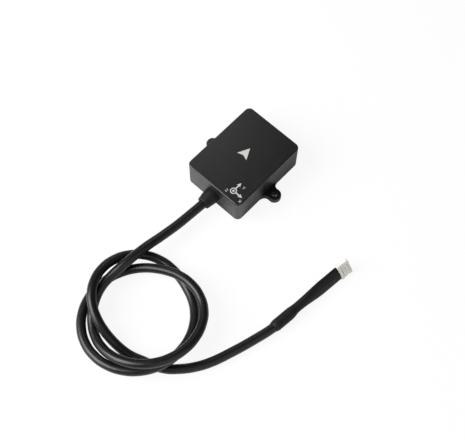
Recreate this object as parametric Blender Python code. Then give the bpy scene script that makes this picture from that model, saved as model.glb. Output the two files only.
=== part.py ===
"""Cabled inertial sensor module: a small moulded case with two screw ears, its sealed
electronics, and a thin signal cable that lies in a loose coil and ends in a small plug.

Metres, +Z up. +Y is the forward direction of the sensor, away from the cable.
The origin is at the bottom centre of the case.
"""
import math

import bmesh
import bpy
from mathutils import Matrix, Vector

# Clearance that pieces keep where they touch on the real object
FIT_GAP = 0.0003
# How far a cutter runs past the face that it opens
CUT_PAST = 0.001

# Case
CASE_LENGTH = 0.046
CASE_WIDTH = 0.035
CASE_HEIGHT = 0.017
CASE_WALL = 0.002
CASE_ROOF = 0.002
CASE_CORNER_RADIUS = 0.0028
CASE_EDGE_RADIUS = 0.0006

# Screw ears, in the middle of the long sides
EAR_REACH = 0.004
EAR_RADIUS = 0.0034
EAR_THICKNESS = 0.003
EAR_HOLE_DIAMETER = 0.0032
EAR_FILLET_RADIUS = 0.003
EAR_EDGE = 0.0004

# Bottom cover with its cord seal, held by four countersunk screws in brass inserts
COVER_THICKNESS = 0.0024
COVER_RECESS = 0.0003
SEAL_DIAMETER = 0.0009
SEAL_GROOVE_DEPTH = 0.0008
BOSS_WALL_BITE = 0.0002
SCREW_EDGE_MARGIN = 0.0004
INSERT_DIAMETER = 0.0036
INSERT_LENGTH = 0.004
COVER_SCREW_DIAMETER = 0.002
COVER_SCREW_LENGTH = 0.006
COVER_SCREW_HEAD_DIAMETER = 0.0037
COVER_SCREW_HEAD_HEIGHT = 0.0011
SCREW_SOCKET_DEPTH = 0.0005
SCREW_SOCKET_DIAMETER = 0.0013

# Circuit board, hung under four posts from the roof
BOARD_THICKNESS = 0.0016
BOARD_SIDE_GAP = 0.002
BOARD_FRONT_GAP = 0.0015
BOARD_CORNER_RADIUS = 0.001
POST_DIAMETER = 0.0044
POST_SIDE_INSET = 0.0029
POST_REAR_INSET = 0.0030
POST_FRONT_INSET = 0.0095
BOARD_SCREW_DIAMETER = 0.0016
BOARD_SCREW_LENGTH = 0.005
BOARD_SCREW_HEAD_DIAMETER = 0.0034
BOARD_SCREW_HEAD_HEIGHT = 0.0012

# Board connector and the wires from the cable
HEADER_LENGTH = 0.005
HEADER_HEIGHT = 0.0034
HEADER_WALL = 0.0007
HEADER_PIN_SIZE = 0.0004
HEADER_PIN_LENGTH = 0.0028
PLUG_TAIL = 0.002
PLUG_SIDE_WALL = 0.0006
WIRE_COUNT = 4
WIRE_DIAMETER = 0.00075
WIRE_PITCH = 0.00125
WIRE_BUNDLE_SPREAD = 0.0013
WIRE_RUN = 0.005

# Cable and its moulded rubber boot
CABLE_DIAMETER = 0.0047
CABLE_HEIGHT = 0.0068
CABLE_INNER_LENGTH = 0.006
BOOT_LENGTH = 0.007
BOOT_BASE_DIAMETER = 0.0086
BOOT_END_DIAMETER = 0.007
BOOT_END_ROUNDING = 0.0005
BOOT_NECK_DIAMETER = 0.0062
BOOT_FLANGE_DIAMETER = 0.0074
BOOT_FLANGE_THICKNESS = 0.0014
TIE_WIDTH = 0.0022
TIE_THICKNESS = 0.0008
TIE_HEAD_WIDTH = 0.0032
TIE_HEAD_HEIGHT = 0.0022

# Hand-chosen route of the cable from the boot to the coil
LEAD_ROUTE = (
    (-0.0004, -0.0368, 0.0068),
    (-0.0011, -0.0468, 0.0070),
    (-0.0021, -0.0565, 0.0079),
    (-0.0032, -0.0682, 0.0101),
    (-0.0039, -0.0782, 0.0104),
)
# Hand-chosen route of the cable from the coil to its end sleeve
TAIL_ROUTE = (
    (0.0495, -0.0974, 0.0024),
    (0.0544, -0.0913, 0.0024),
    (0.0579, -0.0850, 0.0024),
    (0.0617, -0.0749, 0.0025),
    (0.0651, -0.0641, 0.0027),
)

# Loose coil: its turns swing between these reaches from the centre, by angle in degrees
COIL_CENTRE = (0.0178, -0.0900)
COIL_START_DEG = 178
POINTS_PER_LOOP = 24
COIL_STEPS = 57
COIL_FLOOR_GAP = 0.0001
COIL_REACH = (
    (168, 0.0229),
    (390, 0.0293),
    (483, 0.0222),
    (626, 0.0306),
    (790, 0.0242),
    (864, 0.0297),
    (990, 0.0197),
    (1095, 0.0286),
)
# Humps where a turn passes over others: middle and half length in degrees, height
COIL_HUMPS = (
    (168, 92, 0.0057),
    (324, 106, 0.0106),
    (431, 119, 0.0056),
    (686, 125, 0.0053),
    (926, 101, 0.0094),
)

# Plug end: a shrunk sleeve over the split wires, and a flat crimp housing rolled on its edge
PLUG_END_PLACE = (0.0680, -0.0528, 0.0030)
PLUG_HEADING_DEG = 6.6
PLUG_PITCH_DEG = 1.5
PLUG_ROLL_DEG = 52
SLEEVE_WALL = 0.0003
SLEEVE_ROUND_LENGTH = 0.0105
SLEEVE_NECK_AT = 0.015
SLEEVE_NECK_DIAMETER = 0.0047
SLEEVE_NECK_SHIFT = 0.00025
SLEEVE_FLAT_AT = 0.031
SLEEVE_FLAT_WIDTH = 0.0078
SLEEVE_FLAT_HEIGHT = 0.0026
SLEEVE_LENGTH = 0.0418
SLEEVE_JACKET_MARGIN = 0.0005
CONNECTOR_LENGTH = 0.0068
CONNECTOR_SIDE_WALL = 0.0014
CONNECTOR_HEIGHT = 0.0024
CONNECTOR_FLANGE_LENGTH = 0.0015
CONNECTOR_FLANGE_RIM = 0.00015
CONNECTOR_LUG_SIZE = 0.0009
CONNECTOR_LUG_REACH = 0.0006
CONNECTOR_SLOT_LENGTH = 0.0005
CONNECTOR_SLOT_MARGIN = 0.0002
CONNECTOR_SLOT_SPACING = 0.0018
CONNECTOR_SLOT_COUNT = 3
CONNECTOR_SLOT_DEPTH = 0.0004
CAVITY_WIDTH = 0.00095
CAVITY_HEIGHT = 0.0011
WIRE_IN_CAVITY = 0.0015
TERMINAL_WIDTH = 0.0006
TERMINAL_HEIGHT = 0.0007
TERMINAL_FRONT_GAP = 0.0004

# Sides of round pieces
ROUND_SIDES = 32
SMALL_ROUND_SIDES = 20
CORNER_STEPS = 6

# Sizes and places that follow from those above
WIRE_ROW = (WIRE_COUNT - 1) * WIRE_PITCH + CAVITY_WIDTH
INNER_PLUG_WIDTH = WIRE_ROW + 2 * PLUG_SIDE_WALL
HEADER_WIDTH = INNER_PLUG_WIDTH + 2 * FIT_GAP + 2 * HEADER_WALL
CONNECTOR_WIDTH = WIRE_ROW + 2 * CONNECTOR_SIDE_WALL
CONNECTOR_REAR = SLEEVE_LENGTH + FIT_GAP
JACKET_IN_SLEEVE = SLEEVE_ROUND_LENGTH - SLEEVE_JACKET_MARGIN
CAVITY_LENGTH_INSIDE = CASE_LENGTH - 2 * CASE_WALL
CAVITY_WIDTH_INSIDE = CASE_WIDTH - 2 * CASE_WALL
ROOF_UNDERSIDE = CASE_HEIGHT - CASE_ROOF
COVER_TOP = COVER_RECESS + COVER_THICKNESS
SCREW_HEAD_HOLE = COVER_SCREW_HEAD_DIAMETER + 2 * FIT_GAP
BOSS_INSET = FIT_GAP + SEAL_GROOVE_DEPTH + SCREW_EDGE_MARGIN + SCREW_HEAD_HOLE / 2
BOSS_DIAMETER = 2 * (BOSS_INSET + BOSS_WALL_BITE)
BOSS_X = CAVITY_WIDTH_INSIDE / 2 - BOSS_INSET
BOSS_Y = CAVITY_LENGTH_INSIDE / 2 - BOSS_INSET
BOSS_PLACES = [(sx * BOSS_X, sy * BOSS_Y) for sx in (-1, 1) for sy in (-1, 1)]
REAR_WALL_INSIDE = -CAVITY_LENGTH_INSIDE / 2
JACKET_END = REAR_WALL_INSIDE + CABLE_INNER_LENGTH
PLUG_REAR = JACKET_END + WIRE_RUN
HEADER_REAR = PLUG_REAR + PLUG_TAIL
BOARD_REAR = HEADER_REAR - FIT_GAP
BOARD_FRONT = CAVITY_LENGTH_INSIDE / 2 - BOARD_FRONT_GAP
BOARD_LENGTH = BOARD_FRONT - BOARD_REAR
BOARD_WIDTH = CAVITY_WIDTH_INSIDE - 2 * BOARD_SIDE_GAP
BOARD_MIDDLE = (BOARD_FRONT + BOARD_REAR) / 2
BOARD_UNDERSIDE = CABLE_HEIGHT + HEADER_HEIGHT / 2 + FIT_GAP
BOARD_TOP = BOARD_UNDERSIDE + BOARD_THICKNESS
POST_X = BOARD_WIDTH / 2 - POST_SIDE_INSET
POST_PLACES = [
    (sx * POST_X, y)
    for sx in (-1, 1)
    for y in (BOARD_REAR + POST_REAR_INSET, BOARD_FRONT - POST_FRONT_INSET)
]

for old_object in list(bpy.data.objects):
    bpy.data.objects.remove(old_object, do_unlink=True)

PARTS = bpy.data.collections.new("inertial_sensor_module")
CUTTERS = bpy.data.collections.new("cutters")
bpy.context.scene.collection.children.link(PARTS)
bpy.context.scene.collection.children.link(CUTTERS)


def material(name, colour, roughness, metallic=0.0):
    """Principled material with one linear colour."""
    made = bpy.data.materials.new(name)
    made.use_nodes = True
    shader = made.node_tree.nodes["Principled BSDF"]
    shader.inputs["Base Color"].default_value = (*colour, 1.0)
    shader.inputs["Roughness"].default_value = roughness
    shader.inputs["Metallic"].default_value = metallic
    return made


BLACK_ABS = material("black_abs", (0.026, 0.026, 0.027), 0.55)
BLACK_RUBBER = material("black_rubber", (0.011, 0.011, 0.011), 0.7)
BLACK_PVC = material("black_pvc", (0.015, 0.015, 0.015), 0.45)
SHRINK_BLACK = material("shrink_black", (0.012, 0.012, 0.012), 0.5)
WHITE_NYLON = material("white_nylon", (0.64, 0.62, 0.56), 0.5)
SILICONE = material("silicone", (0.25, 0.06, 0.04), 0.6)
BRASS = material("brass", (0.62, 0.44, 0.16), 0.35, 1.0)
STEEL = material("steel", (0.55, 0.55, 0.55), 0.35, 1.0)
TIN = material("tin", (0.7, 0.7, 0.7), 0.3, 1.0)
GREEN_BOARD = material("green_board", (0.01, 0.09, 0.03), 0.5)
CHIP_BLACK = material("chip_black", (0.015, 0.015, 0.016), 0.6)
CERAMIC_TAN = material("ceramic_tan", (0.45, 0.32, 0.18), 0.5)
TANTALUM_YELLOW = material("tantalum_yellow", (0.6, 0.4, 0.05), 0.5)
WIRE_COLOURS = {
    "red_wire": (0.45, 0.02, 0.02),
    "black_wire": (0.012, 0.012, 0.012),
    "green_wire": (0.02, 0.25, 0.05),
    "white_wire": (0.7, 0.7, 0.68),
}


def make_object(name, shape, finish=None):
    """Object from a bmesh: a piece if it has a finish, otherwise a cutter."""
    bmesh.ops.recalc_face_normals(shape, faces=shape.faces)
    mesh = bpy.data.meshes.new(name)
    shape.to_mesh(mesh)
    shape.free()
    made = bpy.data.objects.new(name, mesh)
    if finish is None:
        CUTTERS.objects.link(made)
        made.hide_render = True
        made.display_type = "WIRE"
    else:
        PARTS.objects.link(made)
        mesh.materials.append(finish)
        mesh.shade_smooth()
        mesh.set_sharp_from_angle(angle=math.radians(35))
    return made


def make_copies(name, shape, finish, places):
    """Numbered objects that share one mesh, one at each place."""
    first = make_object(f"{name}_1", shape, finish)
    first.location = places[0]
    made = [first]
    for number, place in enumerate(places[1:], start=2):
        copy = bpy.data.objects.new(f"{name}_{number}", first.data)
        copy.location = place
        PARTS.objects.link(copy)
        made.append(copy)
    return made


def boolean(target, tool, operation):
    """Joins a tool to a piece, or cuts it away."""
    step = target.modifiers.new(f"{operation.lower()}_{tool.name}", "BOOLEAN")
    step.operation = operation
    step.solver = "EXACT"
    step.object = tool


def arc(centre, radius, start_deg, end_deg, steps):
    """Points on an arc, both ends included."""
    angles = [math.radians(start_deg + (end_deg - start_deg) * i / steps) for i in range(steps + 1)]
    return [(centre[0] + radius * math.cos(a), centre[1] + radius * math.sin(a)) for a in angles]


def rounded_rectangle(width, length, radius, centre=(0.0, 0.0)):
    """Outline of a rectangle with round corners, anticlockwise."""
    points = []
    corners = ((1, 1, 0), (-1, 1, 90), (-1, -1, 180), (1, -1, 270))
    for sx, sy, start in corners:
        middle = (centre[0] + sx * (width / 2 - radius), centre[1] + sy * (length / 2 - radius))
        points += arc(middle, radius, start, start + 90, CORNER_STEPS)
    return points


def add_prism(shape, outline, low, high):
    """Flat outline raised from one height to another."""
    face = shape.faces.new([shape.verts.new((x, y, low)) for x, y in outline])
    raised = bmesh.ops.extrude_face_region(shape, geom=[face])["geom"]
    moved = [item for item in raised if isinstance(item, bmesh.types.BMVert)]
    bmesh.ops.translate(shape, verts=moved, vec=(0, 0, high - low))


def add_box(shape, size, centre):
    """Box of a given size round a centre."""
    place = Matrix.Translation(centre) @ Matrix.Diagonal((*size, 1.0))
    return bmesh.ops.create_cube(shape, size=1.0, matrix=place)["verts"]


def add_cylinder(shape, diameter, low, high, place, sides=SMALL_ROUND_SIDES):
    """Upright cylinder between two heights."""
    matrix = Matrix.Translation((place[0], place[1], (low + high) / 2))
    bmesh.ops.create_cone(
        shape, cap_ends=True, segments=sides, radius1=diameter / 2, radius2=diameter / 2,
        depth=high - low, matrix=matrix,
    )


def add_loft(shape, rings, closed=False):
    """Skin over rings of equal point counts, capped, or joined end to start when closed."""
    loops = [[shape.verts.new(point) for point in ring] for ring in rings]
    following = loops[1:] + loops[:1] if closed else loops[1:]
    for first, second in zip(loops, following):
        for i in range(len(first)):
            shape.faces.new((first[i - 1], first[i], second[i], second[i - 1]))
    if not closed:
        shape.faces.new(loops[0])
        shape.faces.new(loops[-1])


def add_turned(shape, profile, place, sides=SMALL_ROUND_SIDES, closed=False):
    """Profile of (radius, height) points turned round the local Z axis."""
    piece = bmesh.new()
    verts = [piece.verts.new((radius, 0.0, height)) for radius, height in profile]
    pairs = list(zip(verts, verts[1:] + verts[:1])) if closed else list(zip(verts, verts[1:]))
    edges = [piece.edges.new(pair) for pair in pairs]
    bmesh.ops.spin(
        piece, geom=verts + edges, cent=(0, 0, 0), axis=(0, 0, 1), angle=2 * math.pi,
        steps=sides, use_merge=True,
    )
    bmesh.ops.remove_doubles(piece, verts=piece.verts, dist=0.000001)
    bmesh.ops.transform(piece, matrix=place, verts=piece.verts)
    mesh = bpy.data.meshes.new("turned")
    piece.to_mesh(mesh)
    piece.free()
    shape.from_mesh(mesh)
    bpy.data.meshes.remove(mesh)


def bevel_level_edges(shape, height, width, segments):
    """Rounds the edges that lie at one height."""
    near = 0.000001
    edges = [e for e in shape.edges if all(abs(v.co.z - height) < near for v in e.verts)]
    bmesh.ops.bevel(shape, geom=edges, offset=width, segments=segments, profile=0.5, affect="EDGES")


def tube(name, route, diameter, finish, resolution, cyclic=False):
    """Round tube along a route, with filled ends."""
    curve = bpy.data.curves.new(name, "CURVE")
    curve.dimensions = "3D"
    curve.bevel_depth = diameter / 2
    curve.bevel_resolution = resolution
    curve.use_fill_caps = True
    curve.materials.append(finish)
    spline = curve.splines.new("POLY")
    spline.points.add(len(route) - 1)
    spline.use_cyclic_u = cyclic
    for point, place in zip(spline.points, route):
        point.co = (*place, 1.0)
    made = bpy.data.objects.new(name, curve)
    PARTS.objects.link(made)
    return made


def smooth_route(points, spacing):
    """Even points on the smooth curve that passes through the given points."""
    knots = [Vector(p) for p in points]
    knots = [2 * knots[0] - knots[1], *knots, 2 * knots[-1] - knots[-2]]
    fine_steps = 24
    fine = []
    for before, start, end, after in zip(knots, knots[1:], knots[2:], knots[3:]):
        for i in range(fine_steps):
            t = i / fine_steps
            bend = (end - before) * t
            bend += (2 * before - 5 * start + 4 * end - after) * t ** 2
            bend += (3 * start - before - 3 * end + after) * t ** 3
            fine.append(start + bend / 2)
    fine.append(knots[-2])
    run = [0.0]
    for first, second in zip(fine, fine[1:]):
        run.append(run[-1] + (second - first).length)
    count = max(2, round(run[-1] / spacing))
    even = []
    index = 0
    for k in range(count + 1):
        want = run[-1] * k / count
        while index < len(run) - 2 and run[index + 1] < want:
            index += 1
        share = (want - run[index]) / (run[index + 1] - run[index])
        even.append(fine[index].lerp(fine[index + 1], share))
    return even


def housing():
    """Deep moulded shell with both ears, screw bosses, board posts and the cable hole."""
    shape = bmesh.new()
    add_prism(shape, rounded_rectangle(CASE_WIDTH, CASE_LENGTH, CASE_CORNER_RADIUS), 0, CASE_HEIGHT)
    bevel_level_edges(shape, CASE_HEIGHT, CASE_EDGE_RADIUS, 3)
    bevel_level_edges(shape, 0, CASE_EDGE_RADIUS, 2)
    shell = make_object("housing", shape, BLACK_ABS)

    boolean(shell, ears(), "UNION")

    shape = bmesh.new()
    inner_radius = max(CASE_CORNER_RADIUS - CASE_WALL, FIT_GAP)
    inside = rounded_rectangle(CAVITY_WIDTH_INSIDE, CAVITY_LENGTH_INSIDE, inner_radius)
    add_prism(shape, inside, -CUT_PAST, ROOF_UNDERSIDE)
    boolean(shell, make_object("case_hollow", shape), "DIFFERENCE")

    shape = bmesh.new()
    roof_bite = CASE_ROOF / 2
    for place in BOSS_PLACES:
        add_cylinder(shape, BOSS_DIAMETER, COVER_TOP + FIT_GAP, ROOF_UNDERSIDE + roof_bite, place)
    for place in POST_PLACES:
        add_cylinder(shape, POST_DIAMETER, BOARD_TOP + FIT_GAP, ROOF_UNDERSIDE + roof_bite, place)
    boolean(shell, make_object("bosses_and_posts", shape), "UNION")

    shape = bmesh.new()
    insert_hole = INSERT_DIAMETER + 2 * FIT_GAP
    insert_roof = COVER_TOP + COVER_SCREW_LENGTH + INSERT_LENGTH / 2
    for place in BOSS_PLACES:
        add_cylinder(shape, insert_hole, COVER_TOP + FIT_GAP - CUT_PAST, insert_roof, place)
    pilot_hole = BOARD_SCREW_DIAMETER + 2 * FIT_GAP
    pilot_roof = BOARD_UNDERSIDE + BOARD_SCREW_LENGTH
    for place in POST_PLACES:
        add_cylinder(shape, pilot_hole, BOARD_TOP + FIT_GAP - CUT_PAST, pilot_roof, place)
    for side in (-1, 1):
        ear_middle = (side * (CASE_WIDTH / 2 + EAR_REACH), 0.0)
        add_cylinder(shape, EAR_HOLE_DIAMETER, -CUT_PAST, EAR_THICKNESS + CUT_PAST, ear_middle, ROUND_SIDES)
    boolean(shell, make_object("upright_holes", shape), "DIFFERENCE")

    shape = bmesh.new()
    along_y = Matrix.Rotation(math.radians(90), 4, "X")
    wall_middle = Vector((0, -(CASE_LENGTH - CASE_WALL) / 2, CABLE_HEIGHT))
    radius = BOOT_NECK_DIAMETER / 2 + FIT_GAP
    bmesh.ops.create_cone(
        shape, cap_ends=True, segments=ROUND_SIDES, radius1=radius, radius2=radius,
        depth=CASE_WALL + 2 * CUT_PAST, matrix=Matrix.Translation(wall_middle) @ along_y,
    )
    boolean(shell, make_object("cable_hole", shape), "DIFFERENCE")
    return shell


def ears():
    """Both ears: a round end with a screw hole, blended into the wall by two fillets."""
    shape = bmesh.new()
    wall = CASE_WIDTH / 2
    root = wall - CASE_WALL / 2
    middle = wall + EAR_REACH
    fillet_x = wall + EAR_FILLET_RADIUS
    centre_distance = EAR_RADIUS + EAR_FILLET_RADIUS
    fillet_y = math.sqrt(centre_distance ** 2 - (middle - fillet_x) ** 2)
    turn = math.degrees(math.atan2(fillet_y, fillet_x - middle))
    half = arc((middle, 0), EAR_RADIUS, 0, turn, 2 * CORNER_STEPS)
    half += arc((fillet_x, fillet_y), EAR_FILLET_RADIUS, turn - 180, -180, CORNER_STEPS)[1:]
    half.append((root, fillet_y))
    lower = [(x, -y) for x, y in reversed(half[1:])]
    outline = lower + half
    for side in (-1, 1):
        add_prism(shape, [(side * x, y) for x, y in outline], 0, EAR_THICKNESS)
    bevel_level_edges(shape, EAR_THICKNESS, EAR_EDGE, 2)
    return make_object("ears", shape)


def bottom_cover():
    """Flat cover set into the case, with a seal groove round its edge and countersunk holes."""
    width = CAVITY_WIDTH_INSIDE - 2 * FIT_GAP
    length = CAVITY_LENGTH_INSIDE - 2 * FIT_GAP
    radius = max(CASE_CORNER_RADIUS - CASE_WALL, FIT_GAP)
    middle = COVER_RECESS + COVER_THICKNESS / 2
    groove = SEAL_DIAMETER / 2 + FIT_GAP / 2
    levels = (
        (COVER_RECESS, 0.0), (middle - groove, 0.0), (middle - groove, SEAL_GROOVE_DEPTH),
        (middle + groove, SEAL_GROOVE_DEPTH), (middle + groove, 0.0), (COVER_TOP, 0.0),
    )
    rings = []
    for height, inset in levels:
        outline = rounded_rectangle(width - 2 * inset, length - 2 * inset, radius)
        rings.append([(x, y, height) for x, y in outline])
    shape = bmesh.new()
    add_loft(shape, rings)
    cover = make_object("bottom_cover", shape, BLACK_ABS)

    shape = bmesh.new()
    shank = COVER_SCREW_DIAMETER / 2 + FIT_GAP
    head = SCREW_HEAD_HOLE / 2
    profile = (
        (0, COVER_TOP + CUT_PAST), (shank, COVER_TOP + CUT_PAST),
        (shank, COVER_RECESS + COVER_SCREW_HEAD_HEIGHT + FIT_GAP), (head, COVER_RECESS + FIT_GAP),
        (head, COVER_RECESS - CUT_PAST), (0, COVER_RECESS - CUT_PAST),
    )
    for x, y in BOSS_PLACES:
        add_turned(shape, profile, Matrix.Translation((x, y, 0)))
    boolean(cover, make_object("countersinks", shape), "DIFFERENCE")
    return cover


def cover_seal():
    """Silicone cord that lies in the cover's groove."""
    inset = FIT_GAP + SEAL_GROOVE_DEPTH - SEAL_DIAMETER / 2 - FIT_GAP / 2
    height = COVER_RECESS + COVER_THICKNESS / 2
    outline = rounded_rectangle(
        CAVITY_WIDTH_INSIDE - 2 * inset, CAVITY_LENGTH_INSIDE - 2 * inset, SEAL_DIAMETER,
    )
    route = [(x, y, height) for x, y in outline]
    return tube("cover_seal", route, SEAL_DIAMETER, SILICONE, 1, cyclic=True)


def cover_screws():
    """Four countersunk screws, heads flush with the cover's underside."""
    shank = COVER_SCREW_DIAMETER / 2
    head = COVER_SCREW_HEAD_DIAMETER / 2
    socket = SCREW_SOCKET_DIAMETER / 2
    tip = COVER_RECESS + COVER_SCREW_LENGTH
    profile = (
        (0, tip), (shank - FIT_GAP, tip), (shank, tip - FIT_GAP),
        (shank, COVER_RECESS + COVER_SCREW_HEAD_HEIGHT), (head, COVER_RECESS),
        (socket, COVER_RECESS), (socket, COVER_RECESS + SCREW_SOCKET_DEPTH),
        (0, COVER_RECESS + SCREW_SOCKET_DEPTH),
    )
    shape = bmesh.new()
    add_turned(shape, profile, Matrix.Identity(4))
    return make_copies("cover_screw", shape, STEEL, [(x, y, 0) for x, y in BOSS_PLACES])


def threaded_inserts():
    """Four brass bushes pressed into the corner bosses, each with a waist between two collars."""
    outer = INSERT_DIAMETER / 2
    waist = outer - FIT_GAP
    bore = COVER_SCREW_DIAMETER / 2 + FIT_GAP
    low = COVER_TOP + 2 * FIT_GAP
    profile = []
    for share, radius in ((1.0, outer), (0.65, outer), (0.6, waist), (0.4, waist), (0.35, outer), (0.0, outer)):
        profile.append((radius, low + share * INSERT_LENGTH))
    profile += [(bore, low), (bore, low + INSERT_LENGTH)]
    shape = bmesh.new()
    add_turned(shape, profile, Matrix.Identity(4), closed=True)
    return make_copies("threaded_insert", shape, BRASS, [(x, y, 0) for x, y in BOSS_PLACES])


def main_board():
    """Circuit board with screw holes and front corners cut back round the bosses."""
    shape = bmesh.new()
    outline = rounded_rectangle(BOARD_WIDTH, BOARD_LENGTH, BOARD_CORNER_RADIUS, (0, BOARD_MIDDLE))
    add_prism(shape, outline, BOARD_UNDERSIDE, BOARD_TOP)
    board = make_object("main_board", shape, GREEN_BOARD)
    shape = bmesh.new()
    low = BOARD_UNDERSIDE - CUT_PAST
    high = BOARD_TOP + CUT_PAST
    for place in POST_PLACES:
        add_cylinder(shape, BOARD_SCREW_DIAMETER + 2 * FIT_GAP, low, high, place)
    for side in (-1, 1):
        add_cylinder(shape, BOSS_DIAMETER + 4 * FIT_GAP, low, high, (side * BOSS_X, BOSS_Y), ROUND_SIDES)
    boolean(board, make_object("board_cuts", shape), "DIFFERENCE")
    return board


def board_screws():
    """Four pan-head screws that hold the board up against its posts."""
    shank = BOARD_SCREW_DIAMETER / 2
    head = BOARD_SCREW_HEAD_DIAMETER / 2
    seat = BOARD_UNDERSIDE - FIT_GAP
    crown = seat - BOARD_SCREW_HEAD_HEIGHT
    tip = seat + BOARD_SCREW_LENGTH - FIT_GAP
    socket = SCREW_SOCKET_DIAMETER / 2
    profile = (
        (0, tip), (shank - FIT_GAP, tip), (shank, tip - FIT_GAP), (shank, seat), (head, seat),
        (head, crown + FIT_GAP), (head - FIT_GAP, crown), (socket, crown),
        (socket, crown + SCREW_SOCKET_DEPTH), (0, crown + SCREW_SOCKET_DEPTH),
    )
    shape = bmesh.new()
    add_turned(shape, profile, Matrix.Identity(4))
    return make_copies("board_screw", shape, STEEL, [(x, y, 0) for x, y in POST_PLACES])


def board_block(name, size, place, finish, below=False, lead_rows=(), chamfer=0.0001):
    """Component on the board: a body with bevelled edges and rows of flat leads."""
    width, length, height = size
    x, y = place
    side = -1 if below else 1
    seat = BOARD_UNDERSIDE - FIT_GAP if below else BOARD_TOP + FIT_GAP
    middle = Vector((x, y, seat + side * height / 2))
    shape = bmesh.new()
    add_box(shape, size, middle)
    bmesh.ops.bevel(
        shape, geom=shape.edges[:], offset=chamfer, segments=1, profile=0.5, affect="EDGES",
    )
    body = make_object(name, shape, finish)
    if lead_rows:
        shape = bmesh.new()
        thickness = 0.0003
        bite = 0.0004
        lead_middle = seat + side * thickness
        for count, pitch, lead_width, reach, across in lead_rows:
            for step in range(count):
                offset = (step - (count - 1) / 2) * pitch
                for end in (-1, 1):
                    run = (width if across else length) / 2
                    centre = end * (run + (reach - bite) / 2)
                    lead_length = reach + bite
                    if across:
                        size_xyz = (lead_length, lead_width, thickness)
                        spot = (x + centre, middle.y + offset, lead_middle)
                    else:
                        size_xyz = (lead_width, lead_length, thickness)
                        spot = (x + offset, middle.y + centre, lead_middle)
                    add_box(shape, size_xyz, spot)
        boolean(body, make_object(name + "_leads", shape), "UNION")
    return body


def board_row(name, size, count, pitch, y, finish):
    """Row of like chip components on top of the board."""
    shape = bmesh.new()
    add_box(shape, size, (0, 0, size[2] / 2))
    offsets = [(step - (count - 1) / 2) * pitch for step in range(count)]
    places = [(x, y, BOARD_TOP + FIT_GAP) for x in offsets]
    return make_copies(name, shape, finish, places)


def board_components():
    """Sensors, processor and power parts on both sides of the board, set out from its front edge."""
    ceramics_y = BOARD_FRONT - 0.0031
    sensors_y = BOARD_FRONT - 0.0057
    regulator_y = BOARD_FRONT - 0.0067
    chips_y = BOARD_FRONT - 0.0127
    crystal_y = BOARD_FRONT - 0.0195
    tantalum_y = BOARD_FRONT - 0.0223
    quad_rows = ((8, 0.0008, 0.0003, 0.0009, True), (8, 0.0008, 0.0003, 0.0009, False))
    board_block("processor_chip", (0.007, 0.007, 0.0014), (0, chips_y), CHIP_BLACK, lead_rows=quad_rows)
    board_block("inertial_chip", (0.003, 0.003, 0.001), (-0.0024, sensors_y), CHIP_BLACK)
    board_block("compass_chip", (0.002, 0.002, 0.0009), (0.0026, sensors_y), CHIP_BLACK)
    board_block("crystal", (0.0032, 0.0025, 0.0008), (0, crystal_y), TIN)
    small_rows = ((4, 0.00127, 0.0004, 0.001, True),)
    board_block("serial_transceiver", (0.0039, 0.0049, 0.0015), (0, chips_y), CHIP_BLACK, True, small_rows)
    power_rows = ((2, 0.0023, 0.0007, 0.0015, False),)
    board_block("voltage_regulator", (0.0065, 0.0035, 0.0016), (0, regulator_y), CHIP_BLACK, True, power_rows)
    board_row("tantalum_capacitor", (0.0032, 0.0016, 0.0016), 2, 0.0046, tantalum_y, TANTALUM_YELLOW)
    board_row("chip_capacitor", (0.0008, 0.0016, 0.0008), 4, 0.0020, ceramics_y, CERAMIC_TAN)
    board_row("chip_resistor", (0.0008, 0.0016, 0.00045), 2, 0.0072, crystal_y, CHIP_BLACK)


def wire_offset(index):
    """Distance of a wire from the middle of its row."""
    return (index - (WIRE_COUNT - 1) / 2) * WIRE_PITCH


def bundle_place(index):
    """Place of a wire in the square bundle inside the cable, across and up."""
    across = -1 if index < WIRE_COUNT / 2 else 1
    up = -1 if index in (0, WIRE_COUNT - 1) else 1
    return across * WIRE_BUNDLE_SPREAD / 2, up * WIRE_BUNDLE_SPREAD / 2


def board_header():
    """Side-entry socket under the board's rear edge, its mouth towards the cable."""
    seat = BOARD_UNDERSIDE - FIT_GAP
    middle = Vector((0, HEADER_REAR + HEADER_LENGTH / 2, seat - HEADER_HEIGHT / 2))
    shape = bmesh.new()
    add_box(shape, (HEADER_WIDTH, HEADER_LENGTH, HEADER_HEIGHT), middle)
    socket = make_object("board_header", shape, WHITE_NYLON)
    shape = bmesh.new()
    mouth = (HEADER_WIDTH - 2 * HEADER_WALL, HEADER_LENGTH, HEADER_HEIGHT - 2 * HEADER_WALL)
    add_box(shape, mouth, middle - Vector((0, HEADER_WALL, 0)))
    boolean(socket, make_object("header_mouth", shape), "DIFFERENCE")
    shape = bmesh.new()
    slot = HEADER_PIN_SIZE + FIT_GAP
    back_wall = HEADER_REAR + HEADER_LENGTH - HEADER_WALL / 2
    for index in range(WIRE_COUNT):
        place = (wire_offset(index), back_wall, middle.z)
        add_box(shape, (slot, HEADER_WALL + 2 * FIT_GAP, slot), place)
    boolean(socket, make_object("header_pin_slots", shape), "DIFFERENCE")
    return socket


def header_pins():
    """Four square pins through the header's back wall."""
    shape = bmesh.new()
    add_box(shape, (HEADER_PIN_SIZE, HEADER_PIN_LENGTH, HEADER_PIN_SIZE), (0, 0, 0))
    y = HEADER_REAR + HEADER_LENGTH + FIT_GAP - HEADER_PIN_LENGTH / 2
    places = [(wire_offset(index), y, header_height()) for index in range(WIRE_COUNT)]
    return make_copies("header_pin", shape, TIN, places)


def header_height():
    """Height of the header's middle, level with the cable."""
    return BOARD_UNDERSIDE - FIT_GAP - HEADER_HEIGHT / 2


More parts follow.
